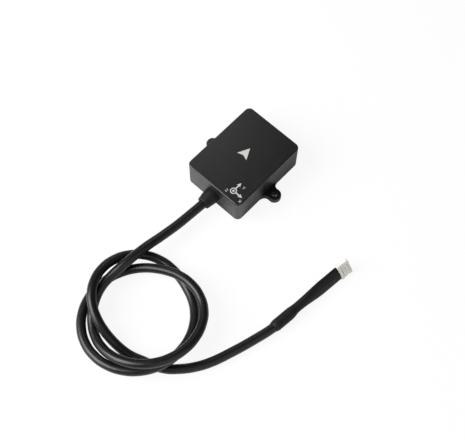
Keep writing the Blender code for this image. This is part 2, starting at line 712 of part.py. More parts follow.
def inner_plug():
    """Crimp housing on the wires, pushed into the board header."""
    inside_depth = HEADER_LENGTH - 2 * HEADER_WALL
    length = PLUG_TAIL + inside_depth - FIT_GAP
    size = (
        INNER_PLUG_WIDTH, length,
        HEADER_HEIGHT - 2 * HEADER_WALL - 2 * FIT_GAP,
    )
    middle = Vector((0, PLUG_REAR + length / 2, header_height()))
    shape = bmesh.new()
    add_box(shape, size, middle)
    plug = make_object("inner_plug", shape, WHITE_NYLON)
    shape = bmesh.new()
    bore = CAVITY_WIDTH
    for index in range(WIRE_COUNT):
        add_box(shape, (bore, length + 2 * CUT_PAST, bore), middle + Vector((wire_offset(index), 0, 0)))
    boolean(plug, make_object("inner_plug_cavities", shape), "DIFFERENCE")
    return plug


def inner_wires():
    """Four wires from the end of the jacket into the inner plug, one colour each."""
    start = JACKET_END + FIT_GAP
    end = PLUG_REAR + PLUG_TAIL / 2
    for index, (name, colour) in enumerate(WIRE_COLOURS.items()):
        across, up = bundle_place(index)
        route = (
            (across, start, CABLE_HEIGHT + up),
            (across, start + WIRE_RUN / 5, CABLE_HEIGHT + up),
            (wire_offset(index), PLUG_REAR - WIRE_RUN / 5, header_height()),
            (wire_offset(index), end, header_height()),
        )
        tube(name, route, WIRE_DIAMETER, material(name, colour, 0.5), 1)


def cable_boot():
    """Turned rubber boot: tapered outside, a neck through the wall and a flange behind it."""
    bore = CABLE_DIAMETER / 2 + FIT_GAP
    end = BOOT_END_DIAMETER / 2
    base = BOOT_BASE_DIAMETER / 2
    neck = BOOT_NECK_DIAMETER / 2
    flange = BOOT_FLANGE_DIAMETER / 2
    behind = -CASE_WALL - FIT_GAP
    back = behind - BOOT_FLANGE_THICKNESS
    profile = (
        (bore, BOOT_LENGTH), (end - BOOT_END_ROUNDING, BOOT_LENGTH), (end, BOOT_LENGTH - BOOT_END_ROUNDING),
        (base, BOOT_LENGTH / 4), (base, FIT_GAP), (neck, FIT_GAP), (neck, behind), (flange, behind),
        (flange, back), (bore, back),
    )
    shape = bmesh.new()
    outward = Matrix.Translation((0, -CASE_LENGTH / 2, CABLE_HEIGHT)) @ Matrix.Rotation(math.radians(90), 4, "X")
    add_turned(shape, profile, outward, ROUND_SIDES, closed=True)
    return make_object("cable_boot", shape, BLACK_RUBBER)


def cable_tie():
    """Nylon tie pulled round the jacket behind the boot, so that the cable can't be drawn out."""
    behind_boot = REAR_WALL_INSIDE + FIT_GAP + BOOT_FLANGE_THICKNESS
    middle = behind_boot + FIT_GAP + TIE_WIDTH / 2
    bore = CABLE_DIAMETER / 2 + FIT_GAP
    outer = bore + TIE_THICKNESS
    place = Matrix.Translation((0, middle, CABLE_HEIGHT)) @ Matrix.Rotation(math.radians(90), 4, "X")
    half = TIE_WIDTH / 2
    shape = bmesh.new()
    add_turned(shape, ((bore, half), (outer, half), (outer, -half), (bore, -half)), place, closed=True)
    tie = make_object("cable_tie", shape, BLACK_PVC)
    shape = bmesh.new()
    head_low = CABLE_HEIGHT + bore + TIE_THICKNESS / 2
    head_middle = (0, middle, head_low + TIE_HEAD_HEIGHT / 2)
    add_box(shape, (TIE_HEAD_WIDTH, TIE_WIDTH + FIT_GAP, TIE_HEAD_HEIGHT), head_middle)
    boolean(tie, make_object("tie_head", shape), "UNION")
    return tie


def eased(table, angle):
    """Value at an angle, swinging smoothly from one (angle, value) pair to the next."""
    for (start, low), (end, high) in zip(table, table[1:]):
        if angle <= end:
            return low + (high - low) * (1 - math.cos(math.pi * (angle - start) / (end - start))) / 2
    return table[-1][1]


def coil_point(angle):
    """Point of the coil's middle line at an angle in degrees, counted on through the turns."""
    reach = eased(COIL_REACH, angle)
    height = CABLE_DIAMETER / 2 + COIL_FLOOR_GAP
    for middle, half_length, rise in COIL_HUMPS:
        share = (angle - middle) / half_length
        if abs(share) < 1:
            height += rise * (1 + math.cos(math.pi * share)) / 2
    turn = math.radians(angle)
    return Vector((
        COIL_CENTRE[0] + reach * math.cos(turn), COIL_CENTRE[1] + reach * math.sin(turn), height,
    ))


def coil_heading(angle):
    """Direction in which the coil runs at an angle."""
    near = 0.5
    return (coil_point(angle + near) - coil_point(angle - near)).normalized()


def coil_route():
    """The coil's turns, with a straight run of one diameter at each end."""
    step = 360 / POINTS_PER_LOOP
    turns = [coil_point(COIL_START_DEG + step * i) for i in range(COIL_STEPS + 1)]
    last = COIL_START_DEG + step * COIL_STEPS
    into = coil_heading(COIL_START_DEG)
    out = coil_heading(last)
    return [turns[0] - into * CABLE_DIAMETER, *turns, turns[-1] + out * CABLE_DIAMETER]


def least_coil_gap(route):
    """Least clear distance between stretches of the coil that aren't neighbours."""
    fine = []
    cuts = 6
    for first, second in zip(route, route[1:]):
        fine += [first.lerp(second, k / cuts) for k in range(cuts)]
    apart = cuts * POINTS_PER_LOOP // 4
    distances = [
        (fine[i] - fine[j]).length for i in range(len(fine)) for j in range(i + apart, len(fine))
    ]
    return min(distances) - CABLE_DIAMETER


def plug_end_matrix():
    """Place of the plug end: Y along the cable, X across the flat of the plug."""
    turn = Matrix.Rotation(math.radians(-PLUG_HEADING_DEG), 4, "Z")
    pitch = Matrix.Rotation(math.radians(PLUG_PITCH_DEG), 4, "X")
    roll = Matrix.Rotation(math.radians(PLUG_ROLL_DEG), 4, "Y")
    return Matrix.Translation(PLUG_END_PLACE) @ turn @ pitch @ roll


def cable():
    """The jacket: a lead through the boot, the loose coil, and a tail into the end sleeve."""
    coil = coil_route()
    print(f"least gap of the coil to itself: {1000 * least_coil_gap(coil):.2f} mm")
    into = (coil[1] - coil[0]).normalized()
    out = (coil[-1] - coil[-2]).normalized()
    spacing = 2 * CABLE_DIAMETER
    boot_end = -CASE_LENGTH / 2 - BOOT_LENGTH
    boot_middle = (boot_end + REAR_WALL_INSIDE) / 2
    in_boot = [(0, y, CABLE_HEIGHT) for y in (JACKET_END, REAR_WALL_INSIDE, boot_middle, boot_end)]
    lead_end = coil[0] - into * FIT_GAP
    lead = smooth_route([*in_boot, *LEAD_ROUTE, lead_end - into * CABLE_DIAMETER], spacing)
    lead.append(lead_end)
    tail_start = coil[-1] + out * FIT_GAP
    end = plug_end_matrix()
    in_sleeve = [end @ Vector((0, y, 0)) for y in (0, JACKET_IN_SLEEVE / 2, JACKET_IN_SLEEVE)]
    tail = smooth_route([tail_start + out * CABLE_DIAMETER, *TAIL_ROUTE, *in_sleeve], spacing)
    tail.insert(0, tail_start)
    tube("cable_lead", lead, CABLE_DIAMETER, BLACK_PVC, 3)
    tube("cable_coil", coil, CABLE_DIAMETER, BLACK_PVC, 1)
    tube("cable_tail", tail, CABLE_DIAMETER, BLACK_PVC, 3)


def oval(width, height, along, shift):
    """Ring of points round the plug end's axis: an ellipse, shifted to one side."""
    angles = [2 * math.pi * i / SMALL_ROUND_SIDES for i in range(SMALL_ROUND_SIDES)]
    return [(width / 2 * math.cos(a) - shift, along, height / 2 * math.sin(a)) for a in angles]


def heat_shrink_sleeve():
    """Shrunk tube: round over the jacket, necked to one side over the wires, flattened at the plug."""
    round_bore = CABLE_DIAMETER + 2 * FIT_GAP
    neck_bore = SLEEVE_NECK_DIAMETER - 2 * SLEEVE_WALL
    flat_bore = (SLEEVE_FLAT_WIDTH - 2 * SLEEVE_WALL, SLEEVE_FLAT_HEIGHT - 2 * SLEEVE_WALL)
    stations = (
        (0.0, round_bore, round_bore, 0.0), (SLEEVE_ROUND_LENGTH, round_bore, round_bore, 0.0),
        (SLEEVE_NECK_AT, neck_bore, neck_bore, SLEEVE_NECK_SHIFT),
        (SLEEVE_FLAT_AT, *flat_bore, 0.0), (SLEEVE_LENGTH, *flat_bore, 0.0),
    )
    wall = 2 * SLEEVE_WALL
    outside = [oval(w + wall, h + wall, y, shift) for y, w, h, shift in stations]
    inside = [oval(w, h, y, shift) for y, w, h, shift in reversed(stations)]
    shape = bmesh.new()
    add_loft(shape, outside + inside, closed=True)
    return make_object("heat_shrink_sleeve", shape, SHRINK_BLACK)


def plug_wires():
    """Four wires from the end of the jacket, through the sleeve, into the plug's cavities."""
    start = JACKET_IN_SLEEVE + FIT_GAP
    end = CONNECTOR_REAR + WIRE_IN_CAVITY
    made = []
    for index in range(WIRE_COUNT):
        across, up = bundle_place(index)
        route = (
            (across, start, up), (across, SLEEVE_NECK_AT, up),
            (wire_offset(index), SLEEVE_FLAT_AT, 0), (wire_offset(index), end, 0),
        )
        made.append(tube(f"plug_wire_{index + 1}", route, WIRE_DIAMETER, BLACK_PVC, 1))
    return made


def connector_housing():
    """White crimp housing with a rear flange, side lugs, slots across its flat and one cavity per wire."""
    rear = CONNECTOR_REAR
    shape = bmesh.new()
    add_box(shape, (CONNECTOR_WIDTH, CONNECTOR_LENGTH, CONNECTOR_HEIGHT), (0, rear + CONNECTOR_LENGTH / 2, 0))
    body = make_object("connector_housing", shape, WHITE_NYLON)

    shape = bmesh.new()
    rim = 2 * CONNECTOR_FLANGE_RIM
    add_box(
        shape, (CONNECTOR_WIDTH + rim, CONNECTOR_FLANGE_LENGTH, CONNECTOR_HEIGHT + rim),
        (0, rear + CONNECTOR_FLANGE_LENGTH / 2, 0),
    )
    lug_y = rear + CONNECTOR_LENGTH - CONNECTOR_LUG_SIZE / 2
    lug_z = CONNECTOR_HEIGHT / 2 - CONNECTOR_LUG_SIZE
    lug_span = CONNECTOR_WIDTH + 2 * CONNECTOR_LUG_REACH
    add_box(shape, (lug_span, CONNECTOR_LUG_SIZE, CONNECTOR_LUG_SIZE), (0, lug_y, lug_z))
    boolean(body, make_object("connector_flange_and_lugs", shape), "UNION")

    shape = bmesh.new()
    for index in range(WIRE_COUNT):
        x = wire_offset(index)
        cavity = (CAVITY_WIDTH, CONNECTOR_LENGTH + 2 * CUT_PAST, CAVITY_HEIGHT)
        add_box(shape, cavity, (x, rear + CONNECTOR_LENGTH / 2, 0))
    boolean(body, make_object("connector_cavities", shape), "DIFFERENCE")
    shape = bmesh.new()
    slot = (WIRE_ROW, CONNECTOR_SLOT_LENGTH, 2 * CONNECTOR_SLOT_DEPTH)
    first_slot = rear + CONNECTOR_FLANGE_LENGTH + CONNECTOR_SLOT_MARGIN + CONNECTOR_SLOT_LENGTH / 2
    for step in range(CONNECTOR_SLOT_COUNT):
        add_box(shape, slot, (0, first_slot + step * CONNECTOR_SLOT_SPACING, CONNECTOR_HEIGHT / 2))
    boolean(body, make_object("connector_slots", shape), "DIFFERENCE")
    return body


def connector_terminals():
    """One folded contact in each cavity of the plug."""
    start = CONNECTOR_REAR + WIRE_IN_CAVITY + FIT_GAP
    end = CONNECTOR_REAR + CONNECTOR_LENGTH - TERMINAL_FRONT_GAP
    shape = bmesh.new()
    add_box(shape, (TERMINAL_WIDTH, end - start, TERMINAL_HEIGHT), (0, 0, 0))
    places = [(wire_offset(index), (start + end) / 2, 0) for index in range(WIRE_COUNT)]
    return make_copies("connector_terminal", shape, TIN, places)


housing()
bottom_cover()
cover_seal()
cover_screws()
threaded_inserts()
main_board()
board_screws()
board_components()
board_header()
header_pins()
inner_plug()
inner_wires()
cable_boot()
cable_tie()
cable()

PLUG_END = bpy.data.objects.new("plug_end", None)
PLUG_END.matrix_world = plug_end_matrix()
PARTS.objects.link(PLUG_END)
for plug_piece in (heat_shrink_sleeve(), *plug_wires(), connector_housing(), *connector_terminals()):
    plug_piece.parent = PLUG_END
for plug_cutter in ("connector_flange_and_lugs", "connector_cavities", "connector_slots"):
    bpy.data.objects[plug_cutter].parent = PLUG_END
bpy.context.view_layer.update()
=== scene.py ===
"""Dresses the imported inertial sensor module: moulded case with printed marks, its electronics,
and the signal cable with its boot, shrunk sleeve and crimp plug. Metres, +Z up.
"""
import math

import bmesh
import bpy
from mathutils import Matrix, Vector


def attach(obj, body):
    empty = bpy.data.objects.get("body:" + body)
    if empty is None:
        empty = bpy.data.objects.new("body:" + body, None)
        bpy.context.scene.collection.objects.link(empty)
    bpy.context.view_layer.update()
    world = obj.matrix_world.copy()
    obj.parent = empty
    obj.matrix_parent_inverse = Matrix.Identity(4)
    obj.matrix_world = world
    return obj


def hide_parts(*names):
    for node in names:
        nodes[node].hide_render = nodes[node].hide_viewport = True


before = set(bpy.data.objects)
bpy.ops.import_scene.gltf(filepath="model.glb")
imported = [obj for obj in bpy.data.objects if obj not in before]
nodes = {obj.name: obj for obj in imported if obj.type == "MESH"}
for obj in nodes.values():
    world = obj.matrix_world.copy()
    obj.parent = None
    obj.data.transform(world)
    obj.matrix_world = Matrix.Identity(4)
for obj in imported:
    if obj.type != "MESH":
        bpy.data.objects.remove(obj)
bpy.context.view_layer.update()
scene = bpy.context.scene
scene.view_settings.view_transform = "Standard"

# Camera
# It looks steeply down from the cable side, right of the case, through a long lens from almost
# half a metre, with a slight roll.
CAMERA_PLACE = (0.13951, -0.16569, 0.41365)
CAMERA_AZIMUTH = math.radians(41.3616)
CAMERA_ELEVATION = math.radians(65.4805)
CAMERA_ROLL = math.radians(1.6625)
CAMERA_LENS = 69.965
CAMERA_SENSOR = 36.0

camera_back = Vector((
    math.sin(CAMERA_AZIMUTH) * math.cos(CAMERA_ELEVATION),
    -math.cos(CAMERA_AZIMUTH) * math.cos(CAMERA_ELEVATION),
    math.sin(CAMERA_ELEVATION),
))
level_right = Vector((math.cos(CAMERA_AZIMUTH), math.sin(CAMERA_AZIMUTH), 0.0))
level_up = camera_back.cross(level_right)
camera_right = math.cos(CAMERA_ROLL) * level_right + math.sin(CAMERA_ROLL) * level_up
camera_up = camera_back.cross(camera_right)
camera_data = bpy.data.cameras.new("photo_camera")
camera_data.lens = CAMERA_LENS
camera_data.sensor_width = CAMERA_SENSOR
camera = bpy.data.objects.new("photo_camera", camera_data)
camera_turn = Matrix((camera_right, camera_up, camera_back)).transposed().to_4x4()
camera.matrix_world = Matrix.Translation(CAMERA_PLACE) @ camera_turn
scene.collection.objects.link(camera)
scene.camera = camera

# Case shell and bottom cover
# One deep moulding of black ABS with both screw ears, the bosses and the board posts on it, closed
# by a flat cover that is screwed in from below. The mould was spark eroded, which leaves a satin grain.
CASE_HEIGHT = 0.017
CASE_LENGTH = 0.046
MERGE_DISTANCE = 0.000001
WEAR_SPREAD = (0.1, 0.4)


def hex_colour(code):
    """Linear colour of an sRGB hex value."""
    parts = [int(code[i:i + 2], 16) / 255 for i in (1, 3, 5)]
    return (*[p / 12.92 if p <= 0.04045 else ((p + 0.055) / 1.055) ** 2.4 for p in parts], 1.0)


def add_node(tree, kind, inputs=None, **settings):
    """Adds a node, sets it, and links or fills its sockets."""
    node = tree.nodes.new(kind)
    for name, value in settings.items():
        setattr(node, name, value)
    for socket, value in (inputs or {}).items():
        if isinstance(value, bpy.types.NodeSocket):
            tree.links.new(value, node.inputs[socket])
        else:
            node.inputs[socket].default_value = value
    return node


def surface(name, shades, drift, gloss, grain, depth, ior=1.5, metallic=0.0, squeeze=(1, 1, 1)):
    """Material whose colour and roughness drift between two values over patches of one size, with a
    fine relief of another size and depth. Squeeze above 1 draws the relief thinner along an axis.
    A grain too fine for the picture is given coarser than the real one, so that it shows."""
    material = bpy.data.materials.new(name)
    material.use_nodes = True
    tree = material.node_tree
    shader = tree.nodes["Principled BSDF"]
    shader.inputs["Metallic"].default_value = metallic
    if not metallic:
        shader.inputs["IOR"].default_value = ior
    place = add_node(tree, "ShaderNodeTexCoord").outputs["Object"]
    patches = add_node(
        tree, "ShaderNodeTexNoise",
        {"Vector": place, "Scale": 1 / drift, "Detail": 4.0, "Roughness": 0.6},
    ).outputs["Fac"]
    tint = add_node(
        tree, "ShaderNodeMix", {0: patches, 6: hex_colour(shades[0]), 7: hex_colour(shades[1])},
        data_type="RGBA",
    )
    tree.links.new(tint.outputs[2], shader.inputs["Base Color"])
    stretched = add_node(tree, "ShaderNodeMapping", {"Vector": place, "Scale": squeeze})
    grit = add_node(
        tree, "ShaderNodeTexNoise",
        {"Vector": stretched.outputs[0], "Scale": 1 / grain, "Detail": 2.0, "Roughness": 0.5},
    ).outputs["Fac"]
    worn = add_node(tree, "ShaderNodeMath", {0: patches, 1: grit}, operation="MULTIPLY")
    sheen = add_node(
        tree, "ShaderNodeMapRange",
        {
            "Value": worn.outputs[0], "From Min": WEAR_SPREAD[0], "From Max": WEAR_SPREAD[1],
            "To Min": gloss[0], "To Max": gloss[1],
        },
    )
    tree.links.new(sheen.outputs[0], shader.inputs["Roughness"])
    relief = add_node(tree, "ShaderNodeBump", {"Strength": 1.0, "Distance": depth, "Height": grit})
    tree.links.new(relief.outputs[0], shader.inputs["Normal"])
    return material


def dress(names, material, sharp_deg=40):
    """Gives CAD nodes a material, joins their loose triangles and shades all but sharp edges smooth."""
    for name in names:
        piece = nodes[name]
        piece.data.materials.clear()
        piece.data.materials.append(material)
        piece.data.shade_smooth()
        weld = piece.modifiers.new("joined_triangles", "WELD")
        weld.merge_threshold = MERGE_DISTANCE
        split = piece.modifiers.new("sharp_edges", "EDGE_SPLIT")
        split.use_edge_sharp = False
        split.split_angle = math.radians(sharp_deg)
        piece.modifiers.new("flat_faces", "WEIGHTED_NORMAL")


# Deep black with a soft, even shine and a faint grain
moulded_abs = surface(
    "moulded_black_abs", ("#0f0f10", "#131314"), drift=0.009, gloss=(0.34, 0.44),
    grain=0.00022, depth=0.000006, ior=1.53,
)
dress(["housing", "bottom_cover"], moulded_abs, sharp_deg=50)

# Printed marks
# A heading arrow and the three sensor axes, pad printed on the lid in white two-part ink, which
# stands a few hundredths of a millimetre proud and is a little thin in places.
INK_PROUD = 0.00003
INK_SUNK = 0.00002
HEADING_ARROW = ((-0.0004, 0.0050), (-0.0035, -0.0012), (-0.0004, -0.0001), (0.0027, -0.0012))
AXES_PLACE = Vector((0.0096, -0.01805, 0.0))
# Inner and outer radius of the ring, and radius of the dot in it
AXIS_RING = (0.0012, 0.0017)
AXIS_DOT = 0.0006
# Start, end and width of an axis arrow's shaft and of its head
AXIS_SHAFT = (0.0016, 0.0040, 0.0007)
AXIS_HEAD = (0.0035, 0.0057, 0.0022)
LETTER_SIZE = 0.0021
LETTER_PLACES = {"X": (0.0158, -0.0202), "Y": (0.0123, -0.0136), "Z": (0.0069, -0.0202)}
RING_STEPS = 40

ink_low = CASE_HEIGHT - INK_SUNK
ink_high = CASE_HEIGHT + INK_PROUD
# Chalky white, greyer where the ink is thin
ink = surface(
    "white_pad_print_ink", ("#b8b8b4", "#c8c8c4"), drift=0.0016, gloss=(0.5, 0.65),
    grain=0.0003, depth=0.000008,
)


def add_ink_outline(shape, outline):
    """Flat printed patch inside an outline, with the thickness of the ink."""
    face = shape.faces.new([shape.verts.new((x, y, ink_low)) for x, y in outline])
    raised = bmesh.ops.extrude_face_region(shape, geom=[face])["geom"]
    moved = [item for item in raised if isinstance(item, bmesh.types.BMVert)]
    bmesh.ops.translate(shape, verts=moved, vec=(0, 0, ink_high - ink_low))


def add_turned(shape, profile, place, steps, closed):
    """Profile of (radius, height) points turned round the Z axis of a place."""
    verts = [shape.verts.new((radius, 0.0, height)) for radius, height in profile]
    pairs = list(zip(verts, verts[1:]))
    if closed:
        pairs.append((verts[-1], verts[0]))
    edges = [shape.edges.new(pair) for pair in pairs]
    before = set(shape.verts) - set(verts)
    bmesh.ops.spin(
        shape, geom=verts + edges, cent=(0, 0, 0), axis=(0, 0, 1), angle=2 * math.pi,
        steps=steps, use_merge=True,
    )
    turned = [v for v in shape.verts if v not in before]
    bmesh.ops.transform(shape, matrix=place, verts=turned)


def new_piece(name, shape, material, replaced=(), sharp_deg=40):
    """Finishes a bmesh as a piece that rides on the case."""
    bmesh.ops.remove_doubles(shape, verts=shape.verts, dist=MERGE_DISTANCE)
    bmesh.ops.recalc_face_normals(shape, faces=shape.faces)
    mesh = bpy.data.meshes.new(name)
    shape.to_mesh(mesh)
    shape.free()
    mesh.materials.append(material)
    mesh.shade_smooth()
    mesh.set_sharp_from_angle(angle=math.radians(sharp_deg))
    piece = bpy.data.objects.new(name, mesh)
    scene.collection.objects.link(piece)
    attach(piece, "root")
    if replaced:
        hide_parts(*replaced)
    return piece


arrow_shape = bmesh.new()
add_ink_outline(arrow_shape, HEADING_ARROW)
new_piece("heading_arrow", arrow_shape, ink)

axes_shape = bmesh.new()
ring_inner, ring_outer = AXIS_RING
ring_profile = (
    (ring_inner, ink_low), (ring_outer, ink_low), (ring_outer, ink_high), (ring_inner, ink_high),
)
add_turned(axes_shape, ring_profile, Matrix.Translation(AXES_PLACE), RING_STEPS, closed=True)
dot_profile = ((0.0, ink_low), (AXIS_DOT, ink_low), (AXIS_DOT, ink_high), (0.0, ink_high))
add_turned(axes_shape, dot_profile, Matrix.Translation(AXES_PLACE), RING_STEPS, closed=False)
for along in (Vector((1, 0)), Vector((0, 1))):
    across = Vector((-along.y, along.x))
    start, neck, shaft_width = AXIS_SHAFT
    base, tip, head_width = AXIS_HEAD
    steps = (
        (start, -shaft_width / 2), (neck, -shaft_width / 2), (base, -head_width / 2), (tip, 0.0),
        (base, head_width / 2), (neck, shaft_width / 2), (start, shaft_width / 2),
    )
    add_ink_outline(axes_shape, [AXES_PLACE.xy + along * run + across * side for run, side in steps])
for letter, (x, y) in LETTER_PLACES.items():
    text = bpy.data.curves.new(f"letter_{letter}", "FONT")
    text.body = letter
    text.size = LETTER_SIZE
    text.align_x = "CENTER"
    text.align_y = "CENTER"
    text.extrude = (ink_high - ink_low) / 2
    text_object = bpy.data.objects.new(text.name, text)
    scene.collection.objects.link(text_object)
    drawn = text_object.evaluated_get(bpy.context.evaluated_depsgraph_get())
    letter_mesh = bpy.data.meshes.new_from_object(drawn)
    letter_mesh.transform(Matrix.Translation((x, y, (ink_high + ink_low) / 2)))
    axes_shape.from_mesh(letter_mesh)
    bpy.data.objects.remove(text_object)
    bpy.data.meshes.remove(letter_mesh)
new_piece("axis_marks", axes_shape, ink)

# Electronics, screws and seal
# A small board with its chips, header and wires hangs under the roof, and four screws in brass inserts
# hold the cover and its seal. From outside only the cover screws and the plug's terminals show.


def numbered(kind, count=4):
    """Names of the copies of a repeated node."""
    return [f"{kind}_{i + 1}" for i in range(count)]


# Glossy green lacquer, with the tracks under it as long low ridges
solder_mask = surface(
    "green_solder_mask", ("#14532f", "#1b6a3d"), drift=0.0011, gloss=(0.22, 0.35),
    grain=0.0004, depth=0.00002, ior=1.52, squeeze=(4, 0.4, 1),
)
dress(["main_board"], solder_mask)
# Dull charcoal with a fine sandy surface
chip_epoxy = surface(
    "moulded_chip_epoxy", ("#1b1b1d", "#26262a"), drift=0.0008, gloss=(0.55, 0.7),
    grain=0.00006, depth=0.000004,
)
chips = ["processor_chip", "inertial_chip", "compass_chip", "serial_transceiver", "voltage_regulator"]
dress(chips + numbered("chip_resistor", 2), chip_epoxy)
# A pale, slightly blurred mirror
tin_plate = surface(
    "bright_tin_plate", ("#c9c9c6", "#dddddb"), drift=0.0009, gloss=(0.22, 0.4),
    grain=0.0001, depth=0.000003, metallic=1.0,
)
dress(["crystal"] + numbered("header_pin") + numbered("connector_terminal"), tin_plate)
# Ochre with a low satin
tantalum_epoxy = surface(
    "yellow_tantalum_epoxy", ("#c8932c", "#d8a63c"), drift=0.0006, gloss=(0.4, 0.55),
    grain=0.00005, depth=0.000003,
)
dress(numbered("tantalum_capacitor", 2), tantalum_epoxy)
# Dry tan with a dull shine
fired_ceramic = surface(
    "fired_tan_ceramic", ("#a88a63", "#bd9f76"), drift=0.0004, gloss=(0.5, 0.65),
    grain=0.00004, depth=0.000003, ior=1.6,
)
dress(numbered("chip_capacitor"), fired_ceramic)
# Cool grey metal, a little cloudy
zinc_steel = surface(
    "zinc_plated_steel", ("#9fa1a3", "#b8babd"), drift=0.0007, gloss=(0.28, 0.42),
    grain=0.00008, depth=0.000004, metallic=1.0,
)
dress(numbered("board_screw") + numbered("cover_screw"), zinc_steel)
# Warm yellow metal with fine turning lines round it
turned_brass = surface(
    "turned_brass", ("#b98f46", "#cda559"), drift=0.0006, gloss=(0.25, 0.4),
    grain=0.0001, depth=0.000006, metallic=1.0, squeeze=(1, 1, 5),
)
dress(numbered("threaded_insert"), turned_brass)
# Soft brick red with little shine
seal_rubber = surface(
    "red_silicone_cord", ("#7c3b30", "#8c4638"), drift=0.002, gloss=(0.5, 0.62),
    grain=0.0002, depth=0.000006, ior=1.41,
)
dress(["cover_seal"], seal_rubber, sharp_deg=70)
# Clean, fairly glossy wire colours
WIRE_SHADES = {
    "red_wire": ("#a02020", "#b52a28"),
    "black_wire": ("#151515", "#1e1e1e"),
    "green_wire": ("#1f7a38", "#288b44"),
    "white_wire": ("#d6d6d2", "#e6e6e2"),
}
WIRE_SHARP_DEG = 75
for wire_name, wire_shades in WIRE_SHADES.items():
    insulation = surface(
        f"{wire_name}_insulation", wire_shades, drift=0.0012, gloss=(0.3, 0.42),
        grain=0.0001, depth=0.000004,
    )
    dress([wire_name], insulation, WIRE_SHARP_DEG)
    if wire_name == "black_wire":
        dress(numbered("plug_wire"), insulation, WIRE_SHARP_DEG)
# Black with a low satin
tie_nylon = surface(
    "black_tie_nylon", ("#171717", "#202020"), drift=0.002, gloss=(0.4, 0.5),
    grain=0.0002, depth=0.000005, ior=1.53,
)
dress(["cable_tie"], tie_nylon)

# Crimp plug and board header
# Natural nylon mouldings, a warm milky white with a low satin. The plug's rear flange, the slots
# across its flat and its front lugs are moulded sharp.
natural_nylon = surface(
    "natural_nylon", ("#e2dfd6", "#eceae3"), drift=0.0014, gloss=(0.38, 0.5),
    grain=0.0001, depth=0.000004, ior=1.53,
)
dress(["connector_housing", "board_header", "inner_plug"], natural_nylon, sharp_deg=30)

# Cable boot
# A moulded rubber strain relief: a collar against the case, a tapered nose with a rounded end, and
# inside the wall a neck and a flange that hold it in the hole.
CABLE_HEIGHT = 0.0068
CABLE_DIAMETER = 0.0047
BOOT_LENGTH = 0.007
BOOT_BASE = 0.0043
BOOT_END = 0.0035
BOOT_NECK = 0.0031
BOOT_FLANGE = 0.0037
BOOT_FLANGE_THICKNESS = 0.0014
BOOT_ROUNDING = 0.0006
BOOT_ROUNDING_STEPS = 5
BOOT_BORE_GAP = 0.00003
BOOT_CHAMFER = 0.0001
COLLAR_LENGTH = BOOT_LENGTH / 4
# How far the collar's soft shoulder starts before its end, and ends after it
SHOULDER_BEFORE = 0.0003
SHOULDER_AFTER = 0.0004
CASE_WALL = 0.002
FIT_GAP = 0.0003
BOOT_STEPS = 64

boot_bore = CABLE_DIAMETER / 2 + BOOT_BORE_GAP
behind_wall = -CASE_WALL - FIT_GAP
boot_profile = [(boot_bore, BOOT_LENGTH)]
for step in range(BOOT_ROUNDING_STEPS + 1):
    turn = math.radians(90 - 90 * step / BOOT_ROUNDING_STEPS)
    boot_profile.append((
        BOOT_END - BOOT_ROUNDING * (1 - math.cos(turn)),
        BOOT_LENGTH - BOOT_ROUNDING * (1 - math.sin(turn)),
    ))
boot_profile += [
    (BOOT_BASE - BOOT_CHAMFER, COLLAR_LENGTH + SHOULDER_AFTER),
    (BOOT_BASE, COLLAR_LENGTH - SHOULDER_BEFORE),
    (BOOT_BASE, BOOT_CHAMFER),
    (BOOT_BASE - BOOT_CHAMFER, 0.0),
    (BOOT_NECK, 0.0),
    (BOOT_NECK, behind_wall),
    (BOOT_FLANGE, behind_wall),
    (BOOT_FLANGE, behind_wall - BOOT_FLANGE_THICKNESS),
    (boot_bore, behind_wall - BOOT_FLANGE_THICKNESS),
]
# Flat black that hardly shines
boot_rubber = surface(
    "moulded_black_rubber", ("#080808", "#0d0d0d"), drift=0.003, gloss=(0.5, 0.62),
    grain=0.00025, depth=0.000008, ior=1.4,
)
boot_place = Matrix.Translation((0, -CASE_LENGTH / 2, CABLE_HEIGHT))
outward = boot_place @ Matrix.Rotation(math.radians(90), 4, "X")
boot_shape = bmesh.new()
add_turned(boot_shape, boot_profile, outward, BOOT_STEPS, closed=True)
boot = new_piece("rubber_boot", boot_shape, boot_rubber, ["cable_boot"], sharp_deg=35)

# Shrunk sleeve
# Heat-shrink tube over the end of the jacket and the split wires: round over the jacket, drawn in
# to one side where the jacket stops, then flat over the row of wires, which shows as faint ridges.
PLUG_END_PLACE = (0.0680, -0.0528, 0.0030)
PLUG_HEADING = math.radians(-6.6)
PLUG_PITCH = math.radians(1.5)
PLUG_ROLL = math.radians(52)
SLEEVE_SIDES = 48
SLEEVE_STEPS = 52
SLEEVE_WALL = 0.0003
SLEEVE_LENGTH = 0.0418
# Along, width, height and shift to one side
SLEEVE_STATIONS = (
    (0.0, 0.0051, 0.0051, 0.0),
    (0.0018, 0.0058, 0.0058, 0.0),
    (0.0098, 0.0058, 0.0058, 0.0),
    (0.0150, 0.0047, 0.0047, 0.00025),
    (0.0310, 0.0078, 0.0027, 0.0),
    (SLEEVE_LENGTH, 0.0078, 0.0026, 0.0),
)
WIRE_PITCH = 0.00125
RIDGE_HEIGHT = 0.00012

plug_end = Matrix.Translation(PLUG_END_PLACE)
plug_end = plug_end @ Matrix.Rotation(PLUG_HEADING, 4, "Z")
plug_end = plug_end @ Matrix.Rotation(PLUG_PITCH, 4, "X")
plug_end = plug_end @ Matrix.Rotation(PLUG_ROLL, 4, "Y")


def sleeve_size(along):
    """Width, height and shift of the sleeve at a distance from its start."""
    for (start, *sizes), (end, *next_sizes) in zip(SLEEVE_STATIONS, SLEEVE_STATIONS[1:]):
        if along <= end:
            share = (1 - math.cos(math.pi * (along - start) / (end - start))) / 2
            return [a + (b - a) * share for a, b in zip(sizes, next_sizes)]
    return SLEEVE_STATIONS[-1][1:]


